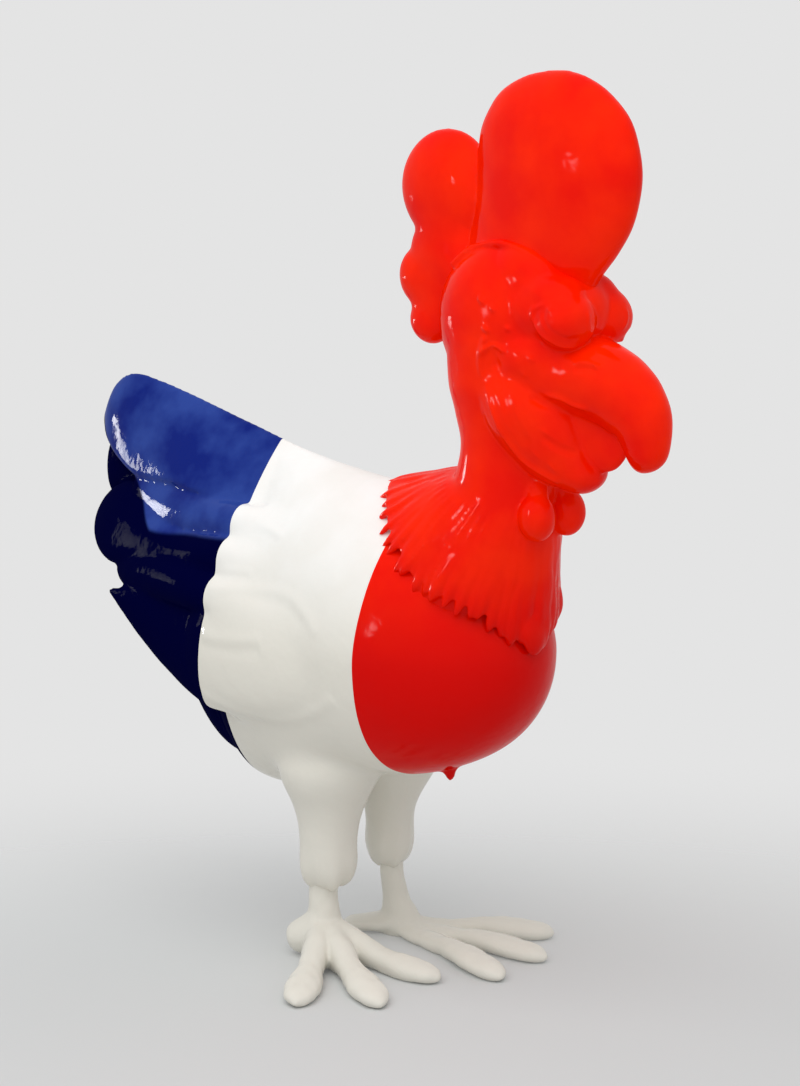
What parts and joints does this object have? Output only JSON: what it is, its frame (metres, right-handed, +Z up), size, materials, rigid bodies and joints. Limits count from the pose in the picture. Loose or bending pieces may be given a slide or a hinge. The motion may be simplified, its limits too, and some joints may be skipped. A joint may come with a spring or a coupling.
{
  "type": "rooster garden sculpture",
  "caption": "Comic rooster garden sculpture standing on splayed feet, moulded in blue tail, white torso and red breast, neck and head sections over a steel frame.",
  "frame": {"origin": "on the ground, below the middle of the bounding box", "axes": "+Z up, the rooster faces -Y with its tail towards +Y, and its right side is at -X"},
  "size_m": [0.4094, 0.9372, 1.09],
  "materials": {
    "blue_enamel": "high gloss",
    "white_enamel": "high gloss",
    "red_enamel": "high gloss",
    "steel": "mill finish",
    "zinc": "zinc plated"
  },
  "bodies": {
    "root": {"tail_section": "blue_enamel", "torso_section": "white_enamel", "breast_section": "red_enamel", "neck_hackle": "red_enamel", "head": "red_enamel", "comb": "red_enamel", "upper_beak": "red_enamel", "lower_beak": "red_enamel", "eye_right": "red_enamel", "eye_left": "red_enamel", "wattle_right": "red_enamel", "wattle_left": "red_enamel", "wing_right": "white_enamel", "wing_left": "white_enamel", "thigh_right": "white_enamel", "thigh_left": "white_enamel", "foot_right": "white_enamel", "foot_left": "white_enamel", "leg_rod_right": "steel", "leg_rod_left": "steel", "sole_disc_right": "steel", "sole_disc_left": "steel", "hip_nut_right": "zinc", "hip_nut_left": "zinc", "hip_locknut_right": "zinc", "hip_locknut_left": "zinc", "hip_plate": "steel", "neck_post": "steel", "comb_spine": "steel"}
  },
  "joints": []
}
